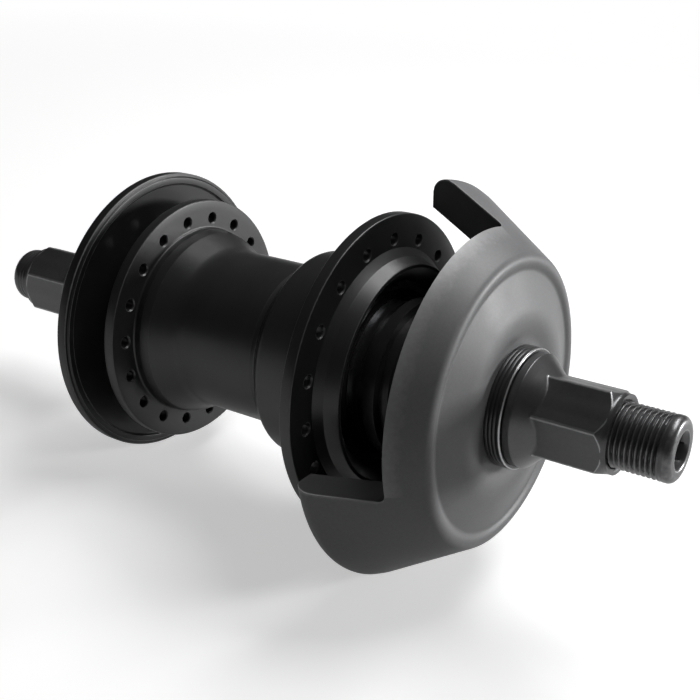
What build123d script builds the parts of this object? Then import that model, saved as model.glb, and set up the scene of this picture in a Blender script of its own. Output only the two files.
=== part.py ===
from build123d import *
import math
import os

# A bicycle freecoaster rear hub on a 14 mm axle, with its two hub guards and both axle nuts.
# The axle lies along Y: the drive side is towards -Y, the other side towards +Y, and +Z is up.
# The origin is on the axle's centre line, midway between the two faces that the frame clamps.
# All sizes are millimetres. In names, _r is a radius, _t a thickness or wall, and _d a distance
# from the middle towards the drive side, so it is -Y.

# Overall sizes and the axle
over_lock_faces = 110.0
axle_r = 7.0
axle_past_drive_nut = 12.5
axle_past_other_nut = 6.7
axle_bevel = 0.9
socket_flats = 6.0
socket_depth = 8.0

# Clearances
thread_gap = 0.05
running_gap = 0.08
screw_gap = 0.2
engaged_gap = 0.06
finger_gap = 0.12
stop_gap = 0.3
sleeve_gap = 0.4
end_gap = 0.5
cavity_gap = 0.8
shield_gap = 1.0
window_gap = 1.3
guard_gap = 6.5

# Axle nuts
nut_wall_t = 1.5
nut_length = 21.0
nut_flange_rim = 4.0
nut_flange_t = 1.3
nut_flange_bevel = 1.4
nut_dome_length = 6.0
nut_dome_round = 3.0
nut_end_bevel = 1.5
nut_end_bevel_angle = 35.0
drive_nut_turn = 50.0
other_nut_turn = 57.0
other_nut_backed_off = 17.3

# Both cones, and the ring that locks the guard on the drive-side one
cone_nose_t = 1.55
cone_stub_t = 3.45
cone_flange_rim = 2.3
cone_flange_t = 3.8
lock_ring_t = 2.75
lock_ring_length = 3.7
lock_ring_web_t = 1.4
lock_ring_bevel = 0.8

# Drive-side guard: a thick moulded cone, open towards the chain
guard_hub_t = 3.5
guard_wall_t = 7.0
guard_cone_angle = 31.6
guard_shoulder_r = 33.6
guard_shoulder_drop = 3.9
guard_ridge_inset = 1.9
guard_ridge_drop = 1.2
guard_ridge_round = 1.6
guard_hollow_inset = 4.3
guard_hollow_drop = 0.7
guard_dish_rim = 1.7
guard_dish_width = 5.3
guard_dish_rise = 2.3
guard_crest_width = 3.0
guard_crest_rise = 2.6
guard_lip_round = 3.0
guard_inner_round = 3.0
window_side_x = 8.0
window_floor_z = -8.2
window_round = 2.5

# Cog and chain
chain_pitch = 12.7
chain_width = 8.6
chain_line_inset = 19.0
roller_r = 3.97
cog_teeth = 9
cog_t = 2.8
cog_bevel = 0.7
cog_flank_angle = 28.0

# Driver's body and screw
driver_boss_t = 1.8
driver_body_t = 4.0
driver_body_length = 2.2
driver_waist_t = 3.4
driver_shield_rim = 2.0
driver_shield_t = 2.8
driver_step_rim = 1.4
driver_step_t = 1.9
neck_t = 3.0
neck_web_t = 1.0
screw_wall_t = 1.8
screw_depth = 2.0
screw_starts = 4
screw_lead = 24.0
screw_land_share = 0.42
screw_length = 19.6
circlip_t = 0.8
circlip_land = 0.25
circlip_depth = 0.6
circlip_bite = 1.1
circlip_opening = 40.0

# Bearings, and the sleeve and spacer on the axle
race_t = 2.3
race_relief = 1.0
seal_t = 2.0
driver_bearing_section = 4.95
driver_bearing_width = 6.0
shell_bearing_section = 6.0
shell_bearing_width = 7.0
other_bearing_section = 7.95
other_bearing_width = 8.0
inner_bearing_rise = 0.7
sleeve_t = 0.95
spacer_t = 1.75

# Clutch cone and the tapered ring that it grips
clutch_travel = 2.5
clutch_taper_angle = 8.0
clutch_taper_length = 16.0
clutch_step = 0.35
clutch_skirt_t = 2.5
clutch_skirt_length = 8.0
clutch_slot_start = 0.8
clutch_ring_t = 1.9
clutch_ring_spare = 0.4

# Drag ring and drag spring
drag_fingers = 3
drag_finger_width = 5.0
drag_ring_length = 6.0
drag_groove_depth = 1.9
drag_groove_width = 2.4
drag_split = 1.0
drag_spring_t = 1.3
drag_spring_opening = 24.0

# Spoke flanges
spoke_count = 18
spoke_hole_r = 1.3
flange_bevel = 0.7
drive_flange_r = 36.0
drive_flange_t = 2.8
drive_flange_inset = 36.1
drive_holes_inset = 5.5
drive_holes_turn = 5.0
other_flange_r = 30.2
other_flange_t = 2.8
other_flange_inset = 14.6
other_holes_inset = 4.4
other_holes_turn = 15.0

# Hub shell: collar, drum, waist, tube and shoulder
collar_rise = 4.7
collar_mouth_t = 3.6
collar_t = 4.4
collar_heel_t = 5.6
collar_heel_rise = 1.6
collar_foot_t = 7.4
collar_floor_rise = 1.5
drum_t = 2.6
drum_foot_t = 3.8
drum_foot_rise = 3.4
drum_short = 0.7
flare_depth = 1.6
flare_length = 3.0
waist_depth = 1.1
waist_length = 5.0
waist_rise = 2.4
tube_t = 3.4
shoulder_height = 3.9
shoulder_round = 6.0
shoulder_length = 5.9
shoulder_lip = 0.5
shoulder_lip_length = 2.2
shoulder_inset = 2.0
shell_end_t = 2.0
shell_end_length = 2.0
shell_end_foot = 1.0
cavity_inset = 4.4
cavity_step_lip = 1.4
other_bearing_inset = 1.0

# Disc guard and lock nut on the other side
disc_r = 35.4
disc_t = 3.0
disc_rim_width = 2.4
disc_hub_rim = 1.2
disc_recess = 0.5
disc_bevel = 0.6
lock_nut_t = 4.5
lock_nut_bevel = 1.2

# Radii that follow from the sizes above, from the axle outwards
bore_r = axle_r + thread_gap
nut_flats = 2 * (axle_r + nut_wall_t)
nut_flange_r = nut_flats / 2 + nut_flange_rim
cone_nose_r = bore_r + cone_nose_t
cone_stub_r = bore_r + cone_stub_t
cone_flange_r = cone_stub_r + cone_flange_rim
lock_ring_r = cone_stub_r + thread_gap + lock_ring_t
guard_dish_r = lock_ring_r + guard_dish_rim
guard_dish_top_r = guard_dish_r + guard_dish_width
sleeve_r = bore_r + sleeve_t
driver_bearing_r = bore_r + driver_bearing_section
driver_body_r = driver_bearing_r + driver_body_t
shell_bearing_bore_r = driver_bearing_r + neck_t
shell_bearing_r = shell_bearing_bore_r + shell_bearing_section
other_bearing_r = bore_r + other_bearing_section
screw_bore_r = sleeve_r + sleeve_gap
screw_root_r = screw_bore_r + screw_wall_t
screw_crest_r = screw_root_r + screw_depth
taper = math.tan(math.radians(clutch_taper_angle))
clutch_skirt_bore_r = screw_crest_r + sleeve_gap
clutch_skirt_r = clutch_skirt_bore_r + clutch_skirt_t
clutch_small_r = clutch_skirt_r + clutch_step
clutch_big_r = clutch_small_r + clutch_taper_length * taper
clutch_ring_r = clutch_big_r + clutch_ring_t
cavity_r = clutch_skirt_r + cavity_gap
cavity_step_r = other_bearing_r - cavity_step_lip
drum_r = shell_bearing_r + drum_t
tube_r = cavity_r + tube_t
shoulder_r = tube_r + shoulder_height
shell_end_r = other_bearing_r + shell_end_t
guard_slope = math.tan(math.radians(guard_cone_angle))
cog_pitch_r = chain_pitch / (2 * math.sin(math.pi / cog_teeth))
cog_tip_r = chain_pitch * (0.6 + 1 / math.tan(math.pi / cog_teeth)) / 2

# Places along the axle that follow, on the drive side from the lock face inwards
lock_y = over_lock_faces / 2
guard_face_d = lock_y - lock_ring_length
guard_back_d = guard_face_d - guard_hub_t
guard_shoulder_d = guard_face_d - guard_shoulder_drop
driver_end_d = guard_back_d - cone_flange_t - end_gap
outer_bearing_d = driver_end_d - circlip_land - circlip_t - thread_gap
chain_line_d = lock_y - chain_line_inset
window_edge_d = chain_line_d + chain_width / 2 + window_gap
drive_flange_d = lock_y - drive_flange_inset
guard_mouth_d = drive_flange_d + guard_gap
collar_d = drive_flange_d + collar_rise
driver_shield_d = collar_d + shield_gap
inner_bearing_d = drive_flange_d + inner_bearing_rise
neck_end_d = inner_bearing_d - driver_bearing_width - neck_web_t
shell_bearing_d = neck_end_d + end_gap + shell_bearing_width

# Places of the clutch and drag ring, and the places along the shell to the other lock face
clutch_back_y = stop_gap - neck_end_d
clutch_taper_y = clutch_back_y + clutch_taper_length
clutch_end_y = clutch_taper_y + clutch_skirt_length
clutch_ring_low_y = shell_bearing_width - shell_bearing_d
clutch_ring_y = clutch_ring_low_y + clutch_taper_length + clutch_ring_spare
drag_ring_y = clutch_end_y + clutch_travel + end_gap
drag_finger_y = clutch_taper_y + clutch_slot_start + clutch_travel + stop_gap
drum_end_y = clutch_ring_y - drum_short
flare_y = drum_end_y + flare_length
waist_y = flare_y + waist_length
tube_start_y = waist_y + waist_rise
other_flange_y = lock_y - other_flange_inset
shoulder_y = other_flange_y - other_flange_t - shoulder_inset
shoulder_low_y = shoulder_y - shoulder_lip_length
tube_end_y = shoulder_low_y - shoulder_length
shell_end_y = other_flange_y + shell_end_length
other_bearing_y = shell_end_y - other_bearing_inset
other_seat_y = other_bearing_y - other_bearing_width
cavity_end_y = other_seat_y - cavity_inset
disc_y = lock_y - lock_nut_t


def ring(points, rounds=(), bevels=()):
    """Turn a closed (radius, y) outline about the axle; rounds and bevels hold (corner, size) pairs."""
    face = make_face(Polyline(*points, close=True)).face()
    for corner, radius in rounds:
        vertex = face.vertices().sort_by_distance((*points[corner], 0))[0]
        face = face.fillet_2d(radius, [vertex])
    for corner, size in bevels:
        vertex = face.vertices().sort_by_distance((*points[corner], 0))[0]
        face = face.chamfer_2d(size, size, [vertex])
    return revolve(face, Axis.Y)


def drive_ring(points, rounds=(), bevels=()):
    """The same for an outline of (radius, distance towards the drive side) points."""
    return ring([(radius, -distance) for radius, distance in points], rounds, bevels)


def tube(inner_r, outer_r, low, high):
    """A plain ring between two places on the axle."""
    return ring([(inner_r, low), (outer_r, low), (outer_r, high), (inner_r, high)])


def prism(section, low, high):
    """A flat section, drawn in X and Z, drawn out along Y from low to high."""
    return Pos(0, low, 0) * extrude(Plane.XZ * section, -(high - low))


def turned(shape, degrees):
    """The shape turned about the axle, from +X towards +Z."""
    return shape.rotate(Axis.Y, -degrees)


def hexagon(flats):
    """A hexagon with a corner towards +X, given its width across flats."""
    return RegularPolygon(flats / math.sqrt(3), 6)


def bevelled_hexagon(flats, low, high, bevel, angle):
    """A hexagonal bar whose corners are turned off at the high end, bevel deep from the corners."""
    corner_r = flats / math.sqrt(3)
    envelope = ring([
        (0, low),
        (corner_r, low),
        (corner_r, high - bevel * math.tan(math.radians(angle))),
        (corner_r - bevel, high),
        (0, high),
    ])
    return prism(hexagon(flats), low, high) & envelope


def axle():
    """Straight axle with chamfered ends and a hex socket in each."""
    low = -(lock_y + nut_length + axle_past_drive_nut)
    high = lock_y + other_nut_backed_off + nut_length + axle_past_other_nut
    body = ring([
        (0, low),
        (axle_r - axle_bevel, low),
        (axle_r, low + axle_bevel),
        (axle_r, high - axle_bevel),
        (axle_r - axle_bevel, high),
        (0, high),
    ])
    body -= prism(hexagon(socket_flats), low, low + socket_depth)
    body -= prism(hexagon(socket_flats), high - socket_depth, high)
    return body


def axle_nut():
    """Hex nut with a domed flange; its base is at y = 0 and its hexagon points to +Y."""
    dome = ring([
        (0, 0),
        (nut_flange_r, 0),
        (nut_flange_r, nut_flange_t),
        (nut_flange_r - nut_flange_bevel, nut_flange_t + nut_flange_bevel),
        (nut_flats / 2, nut_dome_length),
        (0, nut_dome_length),
    ], [(3, nut_dome_round)])
    hex_bar = bevelled_hexagon(nut_flats, 0, nut_length, nut_end_bevel, nut_end_bevel_angle)
    return hex_bar + dome - tube(0, bore_r, 0, nut_length)


def guard_lock_ring():
    """Dark steel ring that screws on the cone's stub and holds the guard."""
    stub_bore_r = cone_stub_r + thread_gap
    web_d = lock_y - lock_ring_web_t
    return drive_ring([
        (stub_bore_r, guard_face_d),
        (lock_ring_r, guard_face_d),
        (lock_ring_r, lock_y - lock_ring_bevel),
        (lock_ring_r - lock_ring_bevel, lock_y),
        (axle_r + stop_gap, lock_y),
        (axle_r + stop_gap, web_d),
        (stub_bore_r, web_d),
    ])


def guard_outer_r(distance):
    """Outer radius of the guard's cone at a distance towards the drive side."""
    return guard_shoulder_r + (guard_shoulder_d - distance) * guard_slope


def guard_inner_r(distance):
    """Inner radius of the guard's cone, one wall in from the outer one."""
    return guard_outer_r(distance) - guard_wall_t / math.cos(math.radians(guard_cone_angle))


def drive_side_guard():
    """Thick moulded cone with a dished face, cut away on one side for the chain."""
    hole_r = cone_stub_r + thread_gap
    guard = drive_ring([
        (hole_r, guard_back_d),
        (hole_r, guard_face_d),
        (guard_dish_r, guard_face_d),
        (guard_dish_top_r, guard_face_d + guard_dish_rise),
        (guard_dish_top_r + guard_crest_width, guard_face_d + guard_crest_rise),
        (guard_shoulder_r - guard_hollow_inset, guard_face_d - guard_hollow_drop),
        (guard_shoulder_r - guard_ridge_inset, guard_face_d - guard_ridge_drop),
        (guard_shoulder_r, guard_shoulder_d),
        (guard_outer_r(guard_mouth_d), guard_mouth_d),
        (guard_inner_r(guard_mouth_d), guard_mouth_d),
        (guard_inner_r(guard_back_d), guard_back_d),
    ], [(6, guard_ridge_round), (8, guard_lip_round), (10, guard_inner_round)])
    far = 2 * guard_outer_r(guard_mouth_d)
    window = Pos(window_side_x, -window_edge_d, window_floor_z) * Box(
        far, far, far, align=(Align.MAX, Align.MIN, Align.MIN))
    side = window.edges().filter_by(Axis.Z).sort_by(Axis.Y)[:2].sort_by(Axis.X)[-1:]
    floor = window.edges().filter_by(Axis.X).sort_by(Axis.Y)[:2].sort_by(Axis.Z)[:1]
    return guard - fillet(side + floor, window_round)


def drive_side_cone():
    """Collar that clamps the driver's outer bearing and carries the guard on a stub."""
    nose_d = driver_end_d + end_gap
    stub_d = lock_y - lock_ring_web_t - stop_gap
    return drive_ring([
        (bore_r, outer_bearing_d),
        (cone_nose_r, outer_bearing_d),
        (cone_nose_r, nose_d),
        (cone_flange_r, nose_d),
        (cone_flange_r, guard_back_d),
        (cone_stub_r, guard_back_d),
        (cone_stub_r, stub_d),
        (bore_r, stub_d),
    ])


def bearing_rings(inner_r, outer_r, low, width):
    """Inner race and the outer race that runs round it, as two separate rings."""
    middle_r = inner_r + race_t
    inner = tube(inner_r, middle_r, low, low + width)
    outer = tube(middle_r + running_gap, outer_r, low, low + width)
    return inner, outer


def sealed_bearing(inner_r, outer_r, low, width):
    """Inner race, outer race and the seal that fills the space between them."""
    middle_r = inner_r + race_t
    seat_r = middle_r + seal_t
    inner = tube(inner_r, middle_r, low, low + width)
    outer = tube(seat_r, outer_r, low, low + width)
    seal = tube(middle_r + running_gap, seat_r, low + stop_gap, low + width - stop_gap)
    return inner, outer, seal


def cog_gap():
    """One tooth gap of the cog: a roller seat that widens towards the tips."""
    seat = Pos(cog_pitch_r, 0) * Circle(roller_r)
    rise = 2 * roller_r
    mouth_half = roller_r + rise * math.tan(math.radians(cog_flank_angle))
    mouth = make_face(Polyline(
        (cog_pitch_r, -roller_r),
        (cog_pitch_r + rise, -mouth_half),
        (cog_pitch_r + rise, mouth_half),
        (cog_pitch_r, roller_r),
        close=True,
    ))
    return seat + mouth


def cog():
    """The cog's toothed disc, with bevelled tips."""
    inner_d = chain_line_d - cog_t / 2
    outer_d = chain_line_d + cog_t / 2
    disc = drive_ring([
        (driver_bearing_r, inner_d),
        (cog_tip_r - 2 * cog_bevel, inner_d),
        (cog_tip_r, inner_d + cog_bevel),
        (cog_tip_r, outer_d - cog_bevel),
        (cog_tip_r - 2 * cog_bevel, outer_d),
        (driver_bearing_r, outer_d),
    ])
    gaps = PolarLocations(0, cog_teeth) * cog_gap()
    return disc - prism(Sketch() + list(gaps), -outer_d, -inner_d)


def screw(extra, low, high):
    """The solid screw between two places on the axle; extra makes it larger all round."""
    length = high - low
    crest_r = screw_crest_r + extra
    land_width = 2 * math.pi * screw_root_r / screw_starts * screw_land_share + 2 * extra
    land_low_r = 0.9 * screw_root_r
    land = Pos(land_low_r, 0) * Rectangle(
        1.1 * crest_r - land_low_r, land_width, align=(Align.MIN, Align.CENTER))
    start = turned(Plane.XZ * land, 360 * low / screw_lead)
    strip = Pos(0, low, 0) * Solid.extrude_linear_with_rotation(
        start.face(), (0, 0, 0), (0, length, 0), -360 * length / screw_lead)
    body = tube(0, screw_root_r + extra, low, high)
    crest = tube(0, crest_r, low, high)
    for number in range(screw_starts):
        body += turned(strip, number * 360 / screw_starts) & crest
    return body


def driver():
    """Cog, hollow body, bearing neck and multi-start screw in one piece."""
    shield_end_d = driver_shield_d + driver_shield_t
    shield_r = driver_body_r + driver_shield_rim
    boss_r = driver_bearing_r + driver_boss_t
    waist_r = driver_bearing_r + driver_waist_t
    step_r = shell_bearing_bore_r + driver_step_rim
    chain_inner_d = chain_line_d - chain_width / 2 - stop_gap
    groove_d = outer_bearing_d + thread_gap
    groove_r = driver_bearing_r + circlip_depth
    seat_d = inner_bearing_d - driver_bearing_width
    relief_r = bore_r + race_t + race_relief
    body = drive_ring([
        (screw_bore_r, neck_end_d),
        (shell_bearing_bore_r, neck_end_d),
        (shell_bearing_bore_r, shell_bearing_d),
        (step_r, shell_bearing_d),
        (step_r, shell_bearing_d + driver_step_t),
        (waist_r, shell_bearing_d + driver_step_t),
        (waist_r, driver_shield_d),
        (shield_r, driver_shield_d),
        (shield_r, shield_end_d),
        (driver_body_r, shield_end_d),
        (driver_body_r, shield_end_d + driver_body_length),
        (boss_r, chain_inner_d),
        (boss_r, driver_end_d),
        (driver_bearing_r, driver_end_d),
        (driver_bearing_r, groove_d + circlip_t),
        (groove_r, groove_d + circlip_t),
        (groove_r, groove_d),
        (driver_bearing_r, groove_d),
        (driver_bearing_r, seat_d),
        (relief_r, seat_d),
        (relief_r, seat_d - stop_gap),
        (screw_bore_r, seat_d - stop_gap),
    ])
    thread = screw(0, -neck_end_d, screw_length - neck_end_d)
    thread -= tube(0, screw_bore_r, -neck_end_d, screw_length - neck_end_d)
    return body + cog() + thread


def driver_circlip():
    """Split ring that holds the outer bearing in the driver."""
    low = -(outer_bearing_d + thread_gap + circlip_t)
    outer_r = driver_bearing_r + circlip_depth - thread_gap
    clip = tube(driver_bearing_r - circlip_bite, outer_r, low, low + circlip_t)
    return clip - opening(circlip_opening, low, low + circlip_t)


def opening(degrees, low, high):
    """A wedge with its point on the axle, for the gap in a split ring."""
    half = math.radians(degrees / 2)
    reach = 2 * drive_flange_r
    side = reach * math.tan(half)
    wedge = make_face(Polyline((0, 0), (reach, side), (reach, -side), close=True))
    return prism(wedge, low, high)


def clutch_cone():
    """Tapered nut that runs on the driver's screw, with a slotted skirt."""
    blank = ring([
        (screw_bore_r, clutch_back_y),
        (clutch_big_r, clutch_back_y),
        (clutch_small_r, clutch_taper_y),
        (clutch_skirt_r, clutch_taper_y),
        (clutch_skirt_r, clutch_end_y),
        (clutch_skirt_bore_r, clutch_end_y),
        (clutch_skirt_bore_r, clutch_taper_y),
        (screw_bore_r, clutch_taper_y),
    ])
    slot_low = clutch_taper_y + clutch_slot_start
    slot = Rectangle(2 * clutch_big_r, drag_finger_width + 2 * finger_gap,
                     align=(Align.MIN, Align.CENTER))
    slots = Sketch() + list(PolarLocations(0, drag_fingers) * slot)
    return blank - screw(screw_gap, clutch_back_y, clutch_taper_y) - prism(slots, slot_low, clutch_end_y)


def clutch_ring():
    """Steel ring pressed in the shell; its tapered bore grips the clutch cone."""
    low = clutch_ring_low_y
    gap = engaged_gap / math.cos(math.radians(clutch_taper_angle))

    def bore_at(y):
        return clutch_big_r - (y - clutch_travel - clutch_back_y) * taper + gap

    return ring([
        (bore_at(low), low),
        (clutch_ring_r, low),
        (clutch_ring_r, clutch_ring_y),
        (bore_at(clutch_ring_y), clutch_ring_y),
    ])


def drag_ring():
    """Split ring that rubs on the axle sleeve, with fingers in the clutch cone's slots."""
    high = drag_ring_y + drag_ring_length
    middle = (drag_ring_y + high) / 2
    groove_low = middle - drag_groove_width / 2
    groove_high = middle + drag_groove_width / 2
    groove_r = clutch_skirt_r - drag_groove_depth
    body = ring([
        (sleeve_r + running_gap, drag_ring_y),
        (clutch_skirt_r, drag_ring_y),
        (clutch_skirt_r, groove_low),
        (groove_r, groove_low),
        (groove_r, groove_high),
        (clutch_skirt_r, groove_high),
        (clutch_skirt_r, high),
        (sleeve_r + running_gap, high),
    ])
    finger = Rectangle(2 * clutch_big_r, drag_finger_width, align=(Align.MIN, Align.CENTER))
    band = Circle(clutch_skirt_r) - Circle(clutch_skirt_bore_r + finger_gap)
    fingers = (Sketch() + list(PolarLocations(0, drag_fingers) * finger)) & band
    split = Rectangle(2 * clutch_big_r, drag_split, align=(Align.MAX, Align.CENTER))
    body += prism(fingers, drag_finger_y, drag_ring_y)
    return body - prism(split, drag_ring_y, high)


def drag_spring():
    """Open spring ring in the drag ring's groove."""
    middle = drag_ring_y + drag_ring_length / 2
    low = middle - drag_groove_width / 2 + running_gap
    high = middle + drag_groove_width / 2 - running_gap
    inner_r = clutch_skirt_r - drag_groove_depth + thread_gap
    spring = tube(inner_r, inner_r + drag_spring_t, low, high)
    return spring - turned(opening(drag_spring_opening, low, high), 90)


def spoke_holes(radius, turn, low, high):
    """One flange's ring of spoke holes."""
    holes = PolarLocations(radius, spoke_count, start_angle=turn) * Circle(spoke_hole_r)
    return prism(Sketch() + list(holes), low, high)


def hub_shell():
    """Hollow shell with a drum for the clutch at the drive side and two spoke flanges."""
    drive_face = -drive_flange_d
    drive_back = drive_flange_t - drive_flange_d
    other_face = other_flange_y
    other_back = other_flange_y - other_flange_t
    shell = ring([
        (shell_bearing_r, drive_face - collar_floor_rise),
        (shell_bearing_r + collar_mouth_t, -collar_d),
        (shell_bearing_r + collar_t, -collar_d),
        (shell_bearing_r + collar_heel_t, drive_face - collar_heel_rise),
        (shell_bearing_r + collar_foot_t, drive_face),
        (drive_flange_r, drive_face),
        (drive_flange_r, drive_back),
        (drum_r + drum_foot_t, drive_back),
        (drum_r, drive_back + drum_foot_rise),
        (drum_r, drum_end_y),
        (drum_r - flare_depth, flare_y),
        (tube_r - waist_depth, waist_y),
        (tube_r, tube_start_y),
        (tube_r, tube_end_y),
        (shoulder_r - shoulder_lip, shoulder_low_y),
        (shoulder_r, shoulder_y),
        (shoulder_r, other_back),
        (other_flange_r, other_back),
        (other_flange_r, other_face),
        (shell_end_r + shell_end_foot, other_face),
        (shell_end_r, shell_end_y),
        (other_bearing_r, shell_end_y),
        (other_bearing_r, other_seat_y),
        (cavity_step_r, other_seat_y),
        (cavity_step_r, cavity_end_y + cavity_r - cavity_step_r),
        (cavity_r, cavity_end_y),
        (cavity_r, clutch_ring_y),
        (clutch_ring_r, clutch_ring_y),
        (clutch_ring_r, shell_bearing_width - shell_bearing_d),
        (shell_bearing_r, shell_bearing_width - shell_bearing_d),
    ], [(13, shoulder_round)], [(corner, flange_bevel) for corner in (5, 6, 17, 18)])
    shell -= spoke_holes(drive_flange_r - drive_holes_inset, drive_holes_turn, drive_face, drive_back)
    shell -= spoke_holes(other_flange_r - other_holes_inset, other_holes_turn, other_back, other_face)
    return shell


def non_drive_cone():
    """Collar between the non-drive bearing and the disc guard."""
    low = other_bearing_y
    flange_low = shell_end_y + end_gap
    high = disc_y - disc_t
    return ring([
        (bore_r, low),
        (cone_nose_r, low),
        (cone_nose_r, flange_low),
        (cone_flange_r, flange_low),
        (cone_flange_r, high),
        (bore_r, high),
    ])


def non_drive_guard():
    """Round disc guard with a raised rim and hub."""
    low = disc_y - disc_t
    rim_r = disc_r - disc_rim_width
    hub_r = cone_flange_r + disc_hub_rim
    return ring([
        (axle_r + stop_gap, low),
        (hub_r, low),
        (hub_r + disc_recess, low + disc_recess),
        (rim_r - disc_recess, low + disc_recess),
        (rim_r, low),
        (disc_r - disc_bevel, low),
        (disc_r, low + disc_bevel),
        (disc_r, disc_y - disc_bevel),
        (disc_r - disc_bevel, disc_y),
        (rim_r, disc_y),
        (rim_r - disc_recess, disc_y - disc_recess),
        (hub_r + disc_recess, disc_y - disc_recess),
        (hub_r, disc_y),
        (axle_r + stop_gap, disc_y),
    ])


def non_drive_lock_nut():
    """Thin hex nut that locks the disc guard and the cone."""
    nut = bevelled_hexagon(nut_flats, disc_y, lock_y, lock_nut_bevel, nut_end_bevel_angle)
    return nut - tube(0, bore_r, disc_y, lock_y)


def pieces():
    """Every piece by name, each in its place."""
    outer_inner_race, outer_outer_race = bearing_rings(
        bore_r, driver_bearing_r, -outer_bearing_d, driver_bearing_width)
    inner_inner_race, inner_outer_race = bearing_rings(
        bore_r, driver_bearing_r, -inner_bearing_d, driver_bearing_width)
    shell_inner_race, shell_outer_race, shell_seal = sealed_bearing(
        shell_bearing_bore_r, shell_bearing_r, -shell_bearing_d, shell_bearing_width)
    other_inner_race, other_outer_race, other_seal = sealed_bearing(
        bore_r, other_bearing_r, other_seat_y, other_bearing_width)
    drive_nut = Pos(0, -lock_y, 0) * Rot(0, 0, 180) * axle_nut()
    other_nut = Pos(0, lock_y + other_nut_backed_off, 0) * axle_nut()
    return {
        "axle": axle(),
        "drive_side_axle_nut": turned(drive_nut, drive_nut_turn),
        "non_drive_axle_nut": turned(other_nut, other_nut_turn),
        "guard_lock_ring": guard_lock_ring(),
        "drive_side_guard": drive_side_guard(),
        "drive_side_cone": drive_side_cone(),
        "outer_driver_bearing_inner_race": outer_inner_race,
        "outer_driver_bearing_outer_race": outer_outer_race,
        "inner_driver_bearing_inner_race": inner_inner_race,
        "inner_driver_bearing_outer_race": inner_outer_race,
        "bearing_spacer": tube(
            bore_r, bore_r + spacer_t, driver_bearing_width - outer_bearing_d, -inner_bearing_d),
        "axle_sleeve": tube(bore_r, sleeve_r, driver_bearing_width - inner_bearing_d, other_seat_y),
        "drive_side_bearing_inner_race": shell_inner_race,
        "drive_side_bearing_outer_race": shell_outer_race,
        "drive_side_bearing_seal": shell_seal,
        "non_drive_bearing_inner_race": other_inner_race,
        "non_drive_bearing_outer_race": other_outer_race,
        "non_drive_bearing_seal": other_seal,
        "driver": driver(),
        "driver_circlip": driver_circlip(),
        "clutch_cone": clutch_cone(),
        "clutch_ring": clutch_ring(),
        "drag_ring": drag_ring(),
        "drag_spring": drag_spring(),
        "hub_shell": hub_shell(),
        "non_drive_cone": non_drive_cone(),
        "non_drive_guard": non_drive_guard(),
        "non_drive_lock_nut": non_drive_lock_nut(),
    }


os.makedirs("parts", exist_ok=True)
for name, piece in pieces().items():
    export_step(piece, f"parts/{name}.step")
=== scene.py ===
import logging
from collections.abc import Sequence
from dataclasses import dataclass, field
from enum import Enum
from math import acos, asin, ceil, cos, degrees, pi, radians, sin, sqrt, tan

import bmesh
import bpy
import numpy as np
from bpy.types import ID, Material, Mesh, Node, NodeOutputs, NodeSocket, NodeTree, Object, World
from mathutils import Matrix, Vector


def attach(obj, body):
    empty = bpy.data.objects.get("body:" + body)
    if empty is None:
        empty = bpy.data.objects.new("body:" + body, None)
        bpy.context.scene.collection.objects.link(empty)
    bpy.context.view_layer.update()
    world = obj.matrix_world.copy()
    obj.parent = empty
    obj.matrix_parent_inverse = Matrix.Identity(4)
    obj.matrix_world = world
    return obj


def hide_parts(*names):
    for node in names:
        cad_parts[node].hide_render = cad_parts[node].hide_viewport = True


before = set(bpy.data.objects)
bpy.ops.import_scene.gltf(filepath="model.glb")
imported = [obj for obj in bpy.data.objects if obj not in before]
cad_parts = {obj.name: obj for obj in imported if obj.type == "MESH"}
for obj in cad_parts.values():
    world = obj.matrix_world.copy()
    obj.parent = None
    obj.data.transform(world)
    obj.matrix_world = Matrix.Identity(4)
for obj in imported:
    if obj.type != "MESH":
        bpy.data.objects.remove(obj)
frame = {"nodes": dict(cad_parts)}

# The hub's axle lies along Y with the drive side towards -Y. Sizes are millimetres unless a comment says
# otherwise, outlines are (radius, y), and angles round the axle run from +X towards +Z. D is a distance
# from the middle towards the drive side, so it is -y. WELD_STEPS is cells per millimetre, SIDE_SHARE a share
# of a side, LEAST_TURN radians and SHARP_ANGLE degrees.

logging.basicConfig(level=logging.INFO, format="%(message)s")
log = logging.getLogger("hub")

MM = 0.001
# Attribute that paints edge wear and a highlight.
EDGE = "edge"
# Attribute that paints shade, a darker colour, on inner and cut faces.
PAINTED_SHADE = "inner"
SOFT_EDGE = 0.25
WELD_STEPS = 2000
SIDE_SHARE = 0.45
LEAST_TURN = 0.05
# Convex rounds up to BRIGHT_ROUND get the full edge value, so small rounds get the most edge wear and painted
# highlight.
BRIGHT_ROUND = 0.6
SHARP_ANGLE = 50.0
CLOUD_RANGE = (0.25, 0.75)
TONE_RANGE = (0.3, 0.7)
Array = np.ndarray
Three = tuple[float, float, float]
Outline = Sequence[tuple[float, ...]]


class Body(Enum):
    """The CAD bodies that pieces ride on."""

    AXLE = "axle_assembly"
    SHELL = "shell"


# Surfaces

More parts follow.
